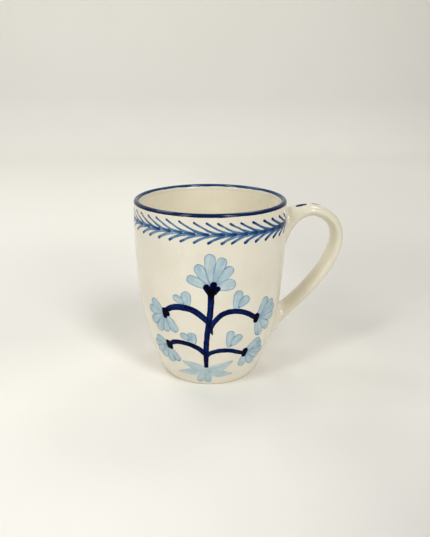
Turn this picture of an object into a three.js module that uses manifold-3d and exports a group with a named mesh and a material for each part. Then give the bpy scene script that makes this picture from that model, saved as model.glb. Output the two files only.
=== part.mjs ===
// A hand-painted stoneware mug: a thrown cup with a loop handle luted on with slip,
// a cobalt rim band, a laurel border and a flowering branch painted on the wall.
// Units are millimetres, +Z is up, the handle points along +X, the foot stands on z = 0
// and the origin is under the middle of the cup and handle together.

import * as THREE from "three";
import { mergeVertices } from "three/addons/utils/BufferGeometryUtils.js";
import Module from "manifold-3d";

const wasm = await Module();
wasm.setup();

// ---- driving dimensions -------------------------------------------------------------

const HEIGHT = 107.4;
const LIP_ROUND = 1.7; // radius of the rounded lip, half the wall at the mouth
const FOOT_EDGE = 28.4; // outer radius of the foot
const FOOT_INNER = 23.5; // inner radius of the foot ring
const FOOT_RECESS = 1.6;
const FLOOR = 7.5; // inside floor above the table at the axis
const BELLY_HEIGHT = 54.8; // where the rounded bowl runs into the upper wall
const BELLY_RADIUS = 43.4;
const MOUTH_RADIUS = 44.5;
const LIP_RADIUS = MOUTH_RADIUS - LIP_ROUND; // the ring about which the lip is rounded
const LIP_HEIGHT = HEIGHT - LIP_ROUND;
const CUP_AXIS_X = -18.1; // the cup stands back from the origin to balance the handle
const CUP_SEGMENTS = 52;

const BAND_THICK = 0.3; // the cobalt band round the lip
const BAND_DROP = 2; // how far it comes down both sides of the lip, below the top

const STRAP_WIDTH = 15;
const ROOT_WIDTH = 18.5; // the strap spreads where it meets the wall
const STRAP_ROUNDING = 2.4; // exponent of the strap's superellipse section
const STRAP_STEPS = 30;
const SLIP_THICK = 0.6;

const GAP = 0.3; // between neighbouring pieces
const PAINT = 0.3; // thickness of a painted piece
const LONGEST_EDGE = 6; // painted pieces bend round the wall in steps of this size
const STROKE_STEP = 5.4; // spacing of the points along a stroke's outline
const NARROW = 2; // strokes up to this wide have one point at each end
const MOTIF_AZIMUTH = THREE.MathUtils.degToRad(-97); // middle of the motif, seen from above
const CHEVRON_PITCH = 7;
const LAST_CHEVRON = 52.3; // tip of the one nearest the handle, in mm round from the motif
const CHEVRONS = 35;
const LAUREL_REACH = 15.5; // length of a leaf along the spine
const LAUREL_END = 64.2; // the spine stops short of the handle's slip
const BORDER_HEIGHT = 99.4; // the laurel's spine, up the wall

const UPPER_ROOT_HEIGHT = 88.5; // middles of the two handle roots
const LOWER_ROOT_HEIGHT = 28;
const UPPER_ROOT_TALL = 25;
const LOWER_ROOT_TALL = 25;

// ---- the outside of the wall, radius against height ---------------------------------

const wall = new THREE.CurvePath();
wall.add(
  new THREE.CubicBezierCurve(
    new THREE.Vector2(FOOT_EDGE, 0),
    new THREE.Vector2(FOOT_EDGE + 2.7, 0.9),
    new THREE.Vector2(BELLY_RADIUS - 1.9, BELLY_HEIGHT / 2),
    new THREE.Vector2(BELLY_RADIUS, BELLY_HEIGHT),
  ),
);
wall.add(
  new THREE.QuadraticBezierCurve(
    new THREE.Vector2(BELLY_RADIUS, BELLY_HEIGHT),
    new THREE.Vector2(MOUTH_RADIUS + 0.7, (BELLY_HEIGHT + LIP_HEIGHT) / 2),
    new THREE.Vector2(MOUTH_RADIUS, LIP_HEIGHT),
  ),
);
const WALL_LENGTH = wall.getLength();

// The distance up the wall, measured along it, at which it reaches a height.
function upTheWall(height) {
  let low = 0;
  let high = WALL_LENGTH;
  while (high - low > 0.01) {
    const middle = (low + high) / 2;
    if (wall.getPoint(middle / WALL_LENGTH).y < height) {
      low = middle;
    } else {
      high = middle;
    }
  }
  return low;
}

// A radius and height on the wall, v up it and lift out from it.
function wallProfile(v, lift) {
  const t = THREE.MathUtils.clamp(v / WALL_LENGTH, 0, 1);
  const at = wall.getPoint(t);
  const up = wall.getTangent(t);
  return new THREE.Vector2(at.x + lift * up.y, at.y - lift * up.x);
}

// The wall as a sheet: u round it from the middle of the motif, v up it, lift out from it.
function onWall(u, v, lift) {
  const round = wallProfile(v, 0).x;
  const { x: radius, y: height } = wallProfile(v, lift);
  const azimuth = MOTIF_AZIMUTH + u / round;
  return new THREE.Vector3(
    CUP_AXIS_X + radius * Math.cos(azimuth),
    radius * Math.sin(azimuth),
    height,
  );
}

// The sheet position of the handle's middle plane at a distance v up the wall.
function handleSide(v) {
  return -MOTIF_AZIMUTH * wallProfile(v, 0).x;
}

// ---- solids -------------------------------------------------------------------------

function weld(geometry) {
  const bare = geometry.clone();
  bare.deleteAttribute("normal");
  bare.deleteAttribute("uv");
  return mergeVertices(bare, 1e-4);
}

function toSolid(geometry) {
  const closed = weld(geometry);
  const mesh = new wasm.Mesh({
    numProp: 3,
    vertProperties: new Float32Array(closed.attributes.position.array),
    triVerts: new Uint32Array(closed.index.array),
  });
  return new wasm.Manifold(mesh);
}

function toGeometry(solid) {
  const mesh = solid.getMesh();
  const geometry = new THREE.BufferGeometry();
  geometry.setAttribute("position", new THREE.BufferAttribute(mesh.vertProperties, 3));
  geometry.setIndex(new THREE.BufferAttribute(mesh.triVerts, 1));
  return geometry;
}

function join(solids) {
  return solids.reduce((whole, next) => whole.add(next));
}

// A solid of revolution about the cup's axis from [radius, height] points.
function turned(points, segments = CUP_SEGMENTS) {
  const geometry = new THREE.LatheGeometry(points, segments);
  geometry.rotateX(Math.PI / 2);
  geometry.translate(CUP_AXIS_X, 0, 0);
  return geometry;
}

// Points on an arc about (x, y); angles in degrees, anticlockwise from +x.
function arc(x, y, radius, from, to, steps) {
  const points = [];
  for (let i = 0; i <= steps; i++) {
    const angle = THREE.MathUtils.degToRad(from + ((to - from) * i) / steps);
    points.push(new THREE.Vector2(x + radius * Math.cos(angle), y + radius * Math.sin(angle)));
  }
  return points;
}

// ---- cup and rim band ---------------------------------------------------------------

function buildCup() {
  const underBand = LIP_ROUND - BAND_THICK - GAP;
  const ledge = HEIGHT - BAND_DROP - GAP; // where the wall steps in to seat the band
  const inside = new THREE.SplineCurve([
    new THREE.Vector2(LIP_RADIUS - LIP_ROUND, ledge),
    new THREE.Vector2(41.1, 85),
    new THREE.Vector2(40.2, 64),
    new THREE.Vector2(38.2, 45),
    new THREE.Vector2(34, 27),
    new THREE.Vector2(26, 13),
    new THREE.Vector2(14, 8.2),
    new THREE.Vector2(0, FLOOR),
  ]);
  return turned([
    new THREE.Vector2(0, FOOT_RECESS),
    new THREE.Vector2(FOOT_INNER - 1.2, FOOT_RECESS),
    new THREE.Vector2(FOOT_INNER, 0),
    ...Array.from({ length: 12 }, (_, i) => wall.getPoint(i / 12)),
    new THREE.Vector2(MOUTH_RADIUS, ledge),
    new THREE.Vector2(LIP_RADIUS + underBand, ledge),
    ...arc(LIP_RADIUS, LIP_HEIGHT, underBand, 0, 180, 4),
    new THREE.Vector2(LIP_RADIUS - underBand, ledge),
    ...inside.getSpacedPoints(9).slice(0, -1),
    new THREE.Vector2(0, FLOOR),
  ]);
}

function buildRimBand() {
  const inner = LIP_ROUND - BAND_THICK;
  const hem = HEIGHT - BAND_DROP;
  return turned([
    new THREE.Vector2(LIP_RADIUS + LIP_ROUND, hem),
    ...arc(LIP_RADIUS, LIP_HEIGHT, LIP_ROUND, 0, 180, 6),
    new THREE.Vector2(LIP_RADIUS - LIP_ROUND, hem),
    new THREE.Vector2(LIP_RADIUS - inner, hem),
    ...arc(LIP_RADIUS, LIP_HEIGHT, inner, 180, 0, 4),
    new THREE.Vector2(LIP_RADIUS + inner, hem),
    new THREE.Vector2(LIP_RADIUS + LIP_ROUND, hem),
  ]);
}

// ---- handle -------------------------------------------------------------------------

// The two edges of the strap in its middle plane, as [distance from the cup's axis, height].
// Points with the same place in both lists lie across the strap from each other.
const OUTER_EDGE = [
  [41, 96.8], [47, 99.9], [50, 100.9], [54, 101.6], [58, 101.9], [62, 102],
  [67.8, 100.6], [73.3, 97.5], [77.8, 93.2], [80.6, 87.4], [81.5, 81.2], [80.6, 74.2],
  [77.2, 65.2], [71.4, 55.6], [63.2, 45.6], [56.2, 38.5], [48.5, 31], [43.6, 25.8],
  [36, 15],
];
const INNER_EDGE = [
  [43.5, 73], [46.3, 80.4], [48.4, 85.4], [52, 90.8], [57, 94.3], [62, 95.1],
  [65.8, 94], [69.4, 91.8], [72.3, 88.9], [74, 85.4], [74.5, 81.2], [73.8, 75.8],
  [71, 68.4], [65.9, 60], [58.2, 50.5], [51.4, 43.6], [46, 39], [42.6, 37.4],
  [38, 38],
];

const edge = (points) => new THREE.SplineCurve(points.map(([x, y]) => new THREE.Vector2(x, y)));
const outerEdge = edge(OUTER_EDGE);
const innerEdge = edge(INNER_EDGE);

// A point of the strap: t along it, across from -1 (inner edge) to 1 (outer edge),
// side from -1 to 1 over its width.
function inStrap(t, across, side, lift = 0) {
  const outer = outerEdge.getPoint(t);
  const inner = innerEdge.getPoint(t);
  const middle = outer.clone().add(inner).multiplyScalar(0.5);
  const half = outer.clone().sub(inner).multiplyScalar(0.5);
  const out = half.clone().normalize();
  const spread = Math.pow(Math.abs(2 * t - 1), 8);
  const width = THREE.MathUtils.lerp(STRAP_WIDTH, ROOT_WIDTH, spread);
  return new THREE.Vector3(
    CUP_AXIS_X + middle.x + half.x * across + out.x * lift,
    (width / 2) * side,
    middle.y + half.y * across + out.y * lift,
  );
}

function superellipse(steps) {
  const power = 2 / STRAP_ROUNDING;
  const points = [];
  for (let i = 0; i < steps; i++) {
    const angle = (2 * Math.PI * i) / steps;
    const x = Math.sign(Math.cos(angle)) * Math.pow(Math.abs(Math.cos(angle)), power);
    const y = Math.sign(Math.sin(angle)) * Math.pow(Math.abs(Math.sin(angle)), power);
    points.push(new THREE.Vector2(x, y));
  }
  return new THREE.Shape(points);
}

// The cup's outline grown outwards, solid to the axis: what a piece on the wall is cut back to.
function wallCore(lift) {
  const points = [new THREE.Vector2(0, -5), new THREE.Vector2(FOOT_EDGE, -5)];
  for (let i = 0; i <= 30; i++) {
    points.push(wallProfile((WALL_LENGTH * i) / 30, lift));
  }
  points.push(new THREE.Vector2(MOUTH_RADIUS + lift, HEIGHT + 5));
  points.push(new THREE.Vector2(0, HEIGHT + 5));
  return toSolid(turned(points, 2 * CUP_SEGMENTS));
}

function buildHandle() {
  const straight = new THREE.ExtrudeGeometry(superellipse(14), {
    depth: 1,
    steps: STRAP_STEPS,
    bevelEnabled: false,
  });
  const position = straight.attributes.position;
  for (let i = 0; i < position.count; i++) {
    const bent = inStrap(position.getZ(i), position.getX(i), -position.getY(i));
    position.setXYZ(i, bent.x, bent.y, bent.z);
  }
  return toGeometry(toSolid(straight).subtract(wallCore(GAP + SLIP_THICK + GAP)));
}

// ---- flat strokes and their bending round a surface ---------------------------------

// The value at t along an evenly spaced list.
function along(list, t) {
  const place = t * (list.length - 1);
  const low = Math.min(Math.floor(place), list.length - 2);
  return THREE.MathUtils.lerp(list[low], list[low + 1], place - low);
}

// The outline of one brush stroke: a smooth spine, widths spaced evenly along it,
// and round ends. grow widens it all round.
function strokeOutline({ spine, widths }, grow = 0) {
  const curve = new THREE.SplineCurve(spine.map(([u, v]) => new THREE.Vector2(u, v)));
  const steps = Math.max(2, Math.round(curve.getLength() / STROKE_STEP));
  const offset = (t, turn) => {
    const angle = curve.getTangentAt(t).angle() + THREE.MathUtils.degToRad(turn);
    const reach = along(widths, t) / 2 + grow;
    const away = new THREE.Vector2(Math.cos(angle), Math.sin(angle));
    return curve.getPointAt(t).addScaledVector(away, reach);
  };
  const stations = Array.from({ length: steps + 1 }, (_, i) => i / steps);
  const capTurns = Math.max(...widths) > NARROW ? [45, 0, -45] : [0];
  return new THREE.Shape([
    ...stations.map((t) => offset(t, 90)),
    ...capTurns.map((turn) => offset(1, turn)),
    ...stations.map((t) => offset(1 - t, -90)),
    ...capTurns.map((turn) => offset(0, turn - 180)),
  ]);
}

// Every stroke of a piece of paint, lying flat on the sheet and joined into one solid.
function flatPaint(strokes, grow = 0) {
  const slabs = strokes.map((stroke) => {
    const slab = new THREE.ExtrudeGeometry(strokeOutline(stroke, grow), {
      depth: PAINT + 2 * grow,
      bevelEnabled: false,
    });
    return toSolid(slab.translate(0, 0, GAP - grow));
  });
  return join(slabs);
}

// One triangle split at the middles of its long edges; a middle is -1 on a short edge.
function splitTriangle([a, b, c], [ab, bc, ca]) {
  const long = [ab, bc, ca].filter((middle) => middle >= 0).length;
  if (long === 0) {
    return [[a, b, c]];
  }
  if (long === 3) {
    return [[a, ab, ca], [ab, b, bc], [ca, bc, c], [ab, bc, ca]];
  }
  if (long === 1 && ab >= 0) {
    return [[a, ab, c], [ab, b, c]];
  }
  if (long === 2 && ca < 0) {
    return [[ab, b, bc], [a, ab, bc], [a, bc, c]];
  }
  return splitTriangle([b, c, a], [bc, ca, ab]);
}

// The same closed surface with no edge longer than LONGEST_EDGE.
function splitLongEdges(geometry) {
  const flat = geometry.attributes.position;
  const points = Array.from({ length: flat.count }, (_, i) =>
    new THREE.Vector3().fromBufferAttribute(flat, i),
  );
  const corners = Array.from(geometry.index.array);
  let triangles = corners.filter((_, i) => i % 3 === 0).map((_, i) => corners.slice(3 * i, 3 * i + 3));
  let middles;
  do {
    middles = new Map();
    const middleOf = (a, b) => {
      if (points[a].distanceTo(points[b]) <= LONGEST_EDGE) {
        return -1;
      }
      const key = `${Math.min(a, b)} ${Math.max(a, b)}`;
      if (!middles.has(key)) {
        middles.set(key, points.length);
        points.push(points[a].clone().lerp(points[b], 0.5));
      }
      return middles.get(key);
    };
    triangles = triangles.flatMap(([a, b, c]) =>
      splitTriangle([a, b, c], [middleOf(a, b), middleOf(b, c), middleOf(c, a)]),
    );
  } while (middles.size > 0);
  return { points, triangles };
}

// A flat solid laid on a surface given as a function of u, v and lift.
function bend(solid, surface) {
  const { points, triangles } = splitLongEdges(toGeometry(solid));
  const geometry = new THREE.BufferGeometry();
  geometry.setFromPoints(points.map(({ x, y, z }) => surface(x, y, z)));
  geometry.setIndex(triangles.flat());
  return geometry;
}

// ---- the strokes, in mm on the sheet ------------------------------------------------

// A petal is loaded at its round tip and thins towards the calyx.
function petal(base, tip, width) {
  return { spine: [base, tip], widths: [0.5 * width, 0.85 * width, width] };
}

function dab(from, to, width) {
  return { spine: [from, to], widths: [width, 0.9 * width] };
}

const MAIN_STEM = [
  {
    spine: [[0.5, 66], [0.4, 60], [-0.2, 52], [-1.3, 43], [-2.0, 35], [-2.2, 26], [-2.1, 17.5]],
    widths: [3.2, 3.0, 2.9, 2.8, 2.8, 2.7, 2.4],
  },
];
const BRANCHES = {
  upper_left: [
    {
      spine: [[-0.5, 48.6], [-4, 52.2], [-9.5, 56.1], [-16.5, 57.2], [-22, 56.1], [-25.8, 53.6]],
      widths: [3.2, 3.6, 3.8, 3.9, 3.6, 3.2],
    },
  ],
  upper_right: [
    {
      spine: [[0.5, 45.5], [2.6, 49.6], [7, 53.9], [12.5, 55.2], [18.5, 54.0], [23.5, 51.3], [26.8, 48.6]],
      widths: [2.6, 3.1, 3.3, 3.3, 3.2, 3.2, 3.0],
    },
  ],
  lower_left: [
    {
      spine: [[-2.4, 26.6], [-6, 30.5], [-11, 33], [-16.5, 33.9], [-21, 33.2], [-24.3, 31]],
      widths: [3.0, 3.3, 3.2, 3.2, 3.3, 3.1],
    },
  ],
  lower_right: [
    {
      spine: [[-2, 25.4], [0.5, 28], [5.5, 29.4], [11, 28.9], [15.5, 27.2], [19.5, 25.2]],
      widths: [2.8, 3.0, 3.1, 3.1, 3.0, 2.8],
    },
  ],
};
const CALYXES = {
  top: [
    dab([-1.9, 70.2], [0, 66.6], 3.3),
    dab([1.9, 71.6], [0.8, 66.6], 3.2),
    dab([3.9, 69.2], [1.3, 66], 3.0),
    dab([0.6, 67], [0.4, 64.4], 3.3),
  ],
  upper_left: [dab([-27.4, 53.2], [-26.9, 49.5], 3.4), dab([-26.1, 53], [-25.2, 51.2], 3.6)],
  upper_right: [dab([28.4, 49.2], [27.7, 46.4], 3.9), dab([27.4, 49.2], [27.5, 47], 3.2)],
  lower_left: [dab([-26.1, 31.6], [-25.3, 28.2], 3.1), dab([-24.6, 30], [-24, 28.3], 3.6)],
  lower_right: [dab([21.5, 26.6], [20.7, 23.7], 4.0)],
};
const FLOWERS = {
  top: [
    petal([-1.5, 70.8], [-10.2, 74.3], 5.6),
    petal([-0.8, 71], [-5.9, 80.5], 5.8),
    petal([0.4, 72], [-0.2, 86.1], 6.2),
    petal([1.6, 71.5], [6.1, 84.1], 6.0),
    petal([2.4, 71], [10.1, 79.3], 5.8),
    petal([2.8, 70.6], [10.9, 71.4], 6.6),
  ],
  upper_left: [
    petal([-29.2, 51.8], [-34.8, 55.9], 6.0),
    petal([-29, 51], [-37.4, 51.2], 5.8),
    petal([-28.6, 50], [-35.9, 44.5], 5.9),
    petal([-28, 49.5], [-31.3, 41], 6.3),
    petal([-27, 49], [-26.3, 41.8], 5.8),
    petal([-26, 49.5], [-21, 42.7], 5.9),
  ],
  upper_right: [
    petal([30, 48.6], [34.7, 56.7], 6.2),
    petal([30, 48.3], [40.3, 54.2], 5.8),
    petal([30.2, 48], [42.8, 50.2], 5.6),
    petal([30.2, 47.3], [41.5, 45.4], 6.0),
    petal([30, 47], [37.6, 39.9], 6.2),
    petal([29.2, 46.6], [30.9, 38], 6.6),
  ],
  lower_left: [
    petal([-27.2, 29.6], [-32.8, 31.4], 6.2),
    petal([-27.2, 29.2], [-35.2, 27.6], 6.0),
    petal([-27, 28.5], [-33.2, 23.6], 5.8),
    petal([-26.6, 28], [-29.5, 21], 5.9),
    petal([-25.6, 27.6], [-24, 19.4], 5.9),
    petal([-25, 27.6], [-19.6, 20.6], 4.8),
  ],
  lower_right: [
    petal([22.6, 26.2], [30.1, 30.5], 6.4),
    petal([22.8, 25.6], [32, 27.6], 5.8),
    petal([23, 25], [33.8, 22.8], 6.0),
    petal([22.8, 24.6], [30.3, 19.8], 5.8),
    petal([22.4, 24], [26.3, 16.7], 6.0),
    petal([21.8, 23.6], [19.6, 17.1], 5.7),
  ],
};
const BUDS = {
  upper_left: [petal([-13, 58.6], [-13.4, 64.2], 5.9), petal([-14, 60.2], [-19.3, 62.4], 4.4)],
  upper_right: [petal([14.8, 56.6], [15.9, 64.7], 5.7), petal([15.4, 58.4], [20.2, 61.2], 5.6)],
  lower_left: [petal([-10, 34], [-10.4, 38.8], 5.9), petal([-11.4, 37], [-15.4, 38.9], 4.3)],
  lower_right: [petal([11, 32.6], [11.7, 40.4], 5.0), petal([12, 33.6], [16.4, 37], 5.7)],
};
const GROUND_LEAVES = [
  { spine: [[-2.5, 14.5], [-9, 17.9], [-15.6, 19.4]], widths: [4.4, 4.2, 1.6] },
  { spine: [[-1.5, 13], [-10, 12], [-18.8, 9.8]], widths: [4.6, 4.4, 1.4] },
  { spine: [[-3, 13.5], [-4.8, 9], [-5.6, 5]], widths: [3.8, 4.0, 3.6] },
  { spine: [[-1.4, 13], [-1.2, 9], [-1, 5]], widths: [4.0, 4.2, 3.8] },
  { spine: [[-0.5, 12.5], [6, 10.8], [12.4, 10]], widths: [4.6, 4.2, 1.6] },
  { spine: [[-1, 14.8], [6.5, 17], [13.2, 20.4]], widths: [4.6, 4.0, 1.4] },
];

// The laurel's spine drifts a little, as a line painted on a turning wheel does.
function borderHeight(u) {
  return BORDER_HEIGHT - 0.9 * Math.sin(u / 30);
}

// Leaves above and below the spine, all running into it towards the handle.
function laurelStrokes() {
  const strokes = [];
  for (let i = 0; i < CHEVRONS; i++) {
    const tip = LAST_CHEVRON - i * CHEVRON_PITCH;
    const squeeze = Math.min(1, (LAUREL_END - tip) / LAUREL_REACH);
    const place = ([forward, above]) => {
      const u = tip + forward * squeeze;
      return [u, borderHeight(u) + above];
    };
    strokes.push({
      spine: [[0, 5.8], [3.5, 3.9], [7.5, 1.9], [11.5, 0.5], [LAUREL_REACH, 0]].map(place),
      widths: [1.2, 1.1, 1.2, 1.4, 1.3],
    });
    strokes.push({
      spine: [[0.8, -4.8], [3.6, -2.7], [7, -1.2], [10.5, -0.4], [14, 0]].map(place),
      widths: [1.6, 1.5, 1.6, 1.6, 1.3],
    });
  }
  return strokes;
}

// ---- handle trimmings ---------------------------------------------------------------

// The strap's outer face as a sheet: s along it from the cup, w across it.
function onStrap(s, w, lift) {
  const side = w / (STRAP_WIDTH / 2);
  const across = Math.pow(1 - Math.pow(Math.abs(side), STRAP_ROUNDING), 1 / STRAP_ROUNDING);
  return inStrap(outerEdge.getUtoTmapping(s / outerEdge.getLength()), across, side, lift);
}

// Slip squeezed out between a root of the handle and the wall: an oval pad on the wall.
function slipJoint(height, tall) {
  const v = upTheWall(height);
  const oval = new THREE.Shape();
  oval.absellipse(handleSide(v), v, ROOT_WIDTH / 2 + 1.2, tall / 2, 0, 2 * Math.PI);
  const pad = new THREE.ExtrudeGeometry(oval, {
    depth: SLIP_THICK,
    curveSegments: 7,
    bevelEnabled: false,
  });
  return bend(toSolid(pad.translate(0, 0, GAP)), onWall);
}

// ---- materials ----------------------------------------------------------------------

const glaze = () => new THREE.MeshStandardMaterial({ color: 0xe6e0ce, roughness: 0.18 });
const slip = () => new THREE.MeshStandardMaterial({ color: 0xddd6c2, roughness: 0.25 });
const cobaltBand = () => new THREE.MeshStandardMaterial({ color: 0x12305a, roughness: 0.2 });
const laurelBlue = () => new THREE.MeshStandardMaterial({ color: 0x2e5288, roughness: 0.22 });
const navy = () => new THREE.MeshStandardMaterial({ color: 0x0e144b, roughness: 0.2 });
const inkBlack = () => new THREE.MeshStandardMaterial({ color: 0x06060e, roughness: 0.2 });
const petalBlue = () => new THREE.MeshStandardMaterial({ color: 0xa6bcc4, roughness: 0.22 });
const paleLeaf = () => new THREE.MeshStandardMaterial({ color: 0xb4c4c8, roughness: 0.22 });

// ---- assembly -----------------------------------------------------------------------

const mug = new THREE.Group();

function add(name, geometry, material) {
  const closed = weld(geometry);
  closed.computeVertexNormals();
  const mesh = new THREE.Mesh(closed, material);
  mesh.name = name;
  mug.add(mesh);
}

// A painted piece, trimmed to clear the strokes that lie over it.
function addPaint(name, material, strokes, over = [], surface = onWall) {
  let paint = flatPaint(strokes);
  if (over.length > 0) {
    paint = paint.subtract(flatPaint(over, GAP));
  }
  add(name, bend(paint, surface), material);
}

add("cup_body", buildCup(), glaze());
add("rim_band", buildRimBand(), cobaltBand());
add("handle", buildHandle(), glaze());
add("upper_slip_joint", slipJoint(UPPER_ROOT_HEIGHT, UPPER_ROOT_TALL), slip());
add("lower_slip_joint", slipJoint(LOWER_ROOT_HEIGHT, LOWER_ROOT_TALL), slip());

addPaint("laurel_border", laurelBlue(), laurelStrokes());
addPaint("main_stem", navy(), MAIN_STEM, CALYXES.top);
addPaint("top_calyx", inkBlack(), CALYXES.top);
addPaint("top_flower", petalBlue(), FLOWERS.top, CALYXES.top);
for (const [place, branch] of Object.entries(BRANCHES)) {
  const calyx = CALYXES[place];
  addPaint(`${place}_branch`, navy(), branch, [...MAIN_STEM, ...calyx]);
  addPaint(`${place}_calyx`, inkBlack(), calyx);
  addPaint(`${place}_flower`, petalBlue(), FLOWERS[place], [...calyx, ...branch]);
  addPaint(`${place}_bud`, petalBlue(), BUDS[place], branch);
}
addPaint("ground_leaves", paleLeaf(), GROUND_LEAVES, [...MAIN_STEM, ...FLOWERS.lower_left]);

const DABS = { near: 13.4, far: 24.2 }; // distance of each along the strap from the cup
for (const [place, s] of Object.entries(DABS)) {
  const mark = [{ spine: [[s, -1.2], [s + 0.4, 1.3]], widths: [4.6, 5.4, 4.4] }];
  addPaint(`handle_dab_${place}`, navy(), mark, [], onStrap);
}

export default mug;
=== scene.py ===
"""A hand-painted stoneware mug on a pale sweep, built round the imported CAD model.

Lengths in the tables below are millimetres. Painting is laid out on the wall as on a flat sheet:
u runs round the wall from the middle of the motif, v up along it from the foot, and lift stands
out from it. Everything is turned into metres where a mesh is made.
"""

import math

import bpy
import numpy as np
from mathutils import Matrix, Vector


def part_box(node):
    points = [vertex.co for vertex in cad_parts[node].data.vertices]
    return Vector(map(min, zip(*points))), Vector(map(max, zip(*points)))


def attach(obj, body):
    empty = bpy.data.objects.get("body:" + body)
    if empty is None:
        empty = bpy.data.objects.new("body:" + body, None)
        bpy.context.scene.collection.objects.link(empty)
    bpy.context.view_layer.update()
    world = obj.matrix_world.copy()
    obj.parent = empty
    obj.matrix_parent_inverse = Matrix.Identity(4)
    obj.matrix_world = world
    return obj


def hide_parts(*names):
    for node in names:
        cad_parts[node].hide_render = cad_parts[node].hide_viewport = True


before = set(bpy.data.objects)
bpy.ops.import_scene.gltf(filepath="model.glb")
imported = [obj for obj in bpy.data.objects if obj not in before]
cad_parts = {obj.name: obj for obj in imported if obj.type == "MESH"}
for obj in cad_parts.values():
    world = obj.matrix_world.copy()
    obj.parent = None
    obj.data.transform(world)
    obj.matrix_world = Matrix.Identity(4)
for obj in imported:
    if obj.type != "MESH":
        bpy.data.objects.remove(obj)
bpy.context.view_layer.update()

MM = 0.001

# ---- the mug's dimensions -----------------------------------------------------------

CUP_LOW, CUP_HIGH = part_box("cup_body")
CUP_X = (CUP_LOW[0] + CUP_HIGH[0]) / 2 / MM
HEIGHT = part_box("rim_band")[1][2] / MM
FOOT_EDGE = 28.4
FOOT_INNER = 23.5
FOOT_RECESS = 1.6
FLOOR = 7.5
# Radius and height of the place where the curve of the bowl runs into the curve of the wall.
BELLY = (43.4, 54.8)
MOUTH_RADIUS = 44.5
# The lip is half round outside, and falls away further on the inside.
LIP_ROUND = 1.7
LIP_INNER_FALL = 3.7
LIP_RADIUS = MOUTH_RADIUS - LIP_ROUND
LIP_HEIGHT = HEIGHT - LIP_ROUND
# The clay stops this far below the full height, to leave room for the paint on the lip.
PAINT_ROOM = 0.03
LIP_CENTRE = LIP_HEIGHT - PAINT_ROOM
MOTIF_AZIMUTH = math.radians(-97)
STRAP_WIDTH = 15
ROOT_WIDTH = 18.5
# The power of the superellipse that is the strap's section: 2 is an ellipse, more is boxier.
STRAP_ROUNDING = 2.05

rng = np.random.default_rng(7)


# ---- curves and noise ---------------------------------------------------------------


def bezier(points, count):
    """A Bezier curve of any order through its control points."""
    points = np.array(points, float)
    t = np.linspace(0, 1, count)[:, None, None]
    level = np.repeat(points[None], count, axis=0)
    while level.shape[1] > 1:
        level = level[:, :-1] * (1 - t) + level[:, 1:] * t
    return level[:, 0]


def spline(points, t):
    """A uniform Catmull-Rom curve through points (rows), at t from 0 to 1."""
    points = np.array(points, float)
    last = len(points) - 1
    place = np.clip(np.asarray(t, float), 0, 1) * last
    low = np.minimum(place.astype(int), last - 1)
    part = (place - low)[..., None]
    before = points[np.maximum(low - 1, 0)]
    here, there = points[low], points[low + 1]
    after = points[np.minimum(low + 2, last)]
    leave, arrive = (there - before) / 2, (after - here) / 2
    cubic = (2 * here - 2 * there + leave + arrive) * part**3
    square = (-3 * here + 3 * there - 2 * leave - arrive) * part**2
    return cubic + square + leave * part + here


LATTICE_SIZE = 64
LATTICE = rng.random((LATTICE_SIZE, LATTICE_SIZE))


def noise(x, y):
    """Smooth noise from -1 to 1 over the plane, one bump per unit."""
    x, y = np.asarray(x, float), np.asarray(y, float)
    cell_x, cell_y = np.floor(x).astype(int), np.floor(y).astype(int)
    part_x, part_y = x - cell_x, y - cell_y
    ease_x = part_x * part_x * (3 - 2 * part_x)
    ease_y = part_y * part_y * (3 - 2 * part_y)

    def corner(i, j):
        return LATTICE[(cell_x + i) % LATTICE_SIZE, (cell_y + j) % LATTICE_SIZE]

    low = corner(0, 0) * (1 - ease_x) + corner(1, 0) * ease_x
    high = corner(0, 1) * (1 - ease_x) + corner(1, 1) * ease_x
    return 2 * (low * (1 - ease_y) + high * ease_y) - 1


def smoothstep(low, high, x):
    """0 at low and before it, 1 at high and beyond, easing between. low may be above high."""
    t = np.clip((x - low) / (high - low), 0, 1)
    return t * t * (3 - 2 * t)


# ---- the wall and the strap as sheets -----------------------------------------------

BOWL = bezier(
    [(FOOT_EDGE, 0), (FOOT_EDGE + 2.7, 0.9), (BELLY[0] - 1.9, BELLY[1] / 2), BELLY], 100
)
UPPER = bezier(
    [BELLY, (MOUTH_RADIUS + 0.7, (BELLY[1] + LIP_HEIGHT) / 2), (MOUTH_RADIUS, LIP_HEIGHT)], 75
)
WALL = np.vstack([BOWL, UPPER[1:]])
WALL_V = np.concatenate([[0], np.cumsum(np.hypot(*np.diff(WALL, axis=0).T))])
WALL_SLOPE = np.gradient(WALL, WALL_V, axis=0)
# The cup's outside is the wall less its first steps, which round off the foot's corner, and less
# its last, where the lip takes over.
OUTSIDE = slice(2, -1)


def wobble(azimuth, v):
    """How far a thrown wall strays from round, out from the axis."""
    slow = 0.05 * np.sin(2 * azimuth + 0.6 + v / 60) + 0.035 * np.sin(3 * azimuth - v / 45)
    rings = 0.02 * np.sin(v / 2.3 + azimuth)
    fade = smoothstep(2, 25, v) * smoothstep(WALL_V[-1], WALL_V[-1] - 12, v)
    return (slow + rings) * fade


def wall_at(v):
    """Radius, height and the outward normal's two parts at a distance v up the wall."""
    radius = np.interp(v, WALL_V, WALL[:, 0])
    height = np.interp(v, WALL_V, WALL[:, 1])
    across = np.interp(v, WALL_V, WALL_SLOPE[:, 1])
    down = -np.interp(v, WALL_V, WALL_SLOPE[:, 0])
    return radius, height, across, down


def on_wall(u, v, lift):
    """The cup's outer face as a sheet: points in space at u, v and lift."""
    radius, height, across, down = wall_at(v)
    azimuth = MOTIF_AZIMUTH + np.asarray(u) / radius
    out = radius + wobble(azimuth, v) + lift * across
    return np.stack(
        [CUP_X + out * np.cos(azimuth), out * np.sin(azimuth), height + lift * down], axis=-1
    )


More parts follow.
